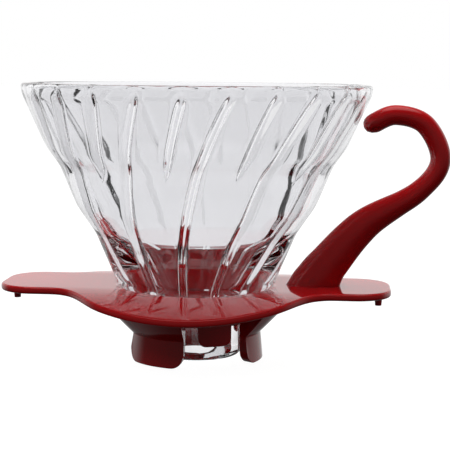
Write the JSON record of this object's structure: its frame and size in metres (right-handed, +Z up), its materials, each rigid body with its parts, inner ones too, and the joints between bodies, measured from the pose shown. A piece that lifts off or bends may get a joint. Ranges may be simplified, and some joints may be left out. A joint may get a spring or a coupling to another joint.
{
  "type": "pour over coffee dripper",
  "caption": "Cone coffee dripper: ribbed glass cone that lifts out of a moulded holder with two wings, three legs, snap claws and a hook handle.",
  "frame": {"origin": "under the middle of the part's box, on the surface that the legs stand on; the cone's axis is 9.22 mm towards -X from it", "axes": "+Z up along the cone's axis, +X towards the hook handle, -Y the front"},
  "size_m": [0.1494, 0.1164, 0.092],
  "materials": {
    "cone_glass": "clear pressed borosilicate glass, fire polished",
    "holder_plastic": "glossy dark red polypropylene",
    "handle_plastic": "glossy dark red polypropylene"
  },
  "bodies": {
    "holder": {"holder_base": "holder_plastic", "handle": "handle_plastic"},
    "glass": {"glass_cone": "cone_glass"}
  },
  "joints": [
    {"name": "glass_lift", "type": "slide", "parent": "holder", "child": "glass", "axis": [0, 0, 1], "range_m": [0, 0.06]}
  ]
}
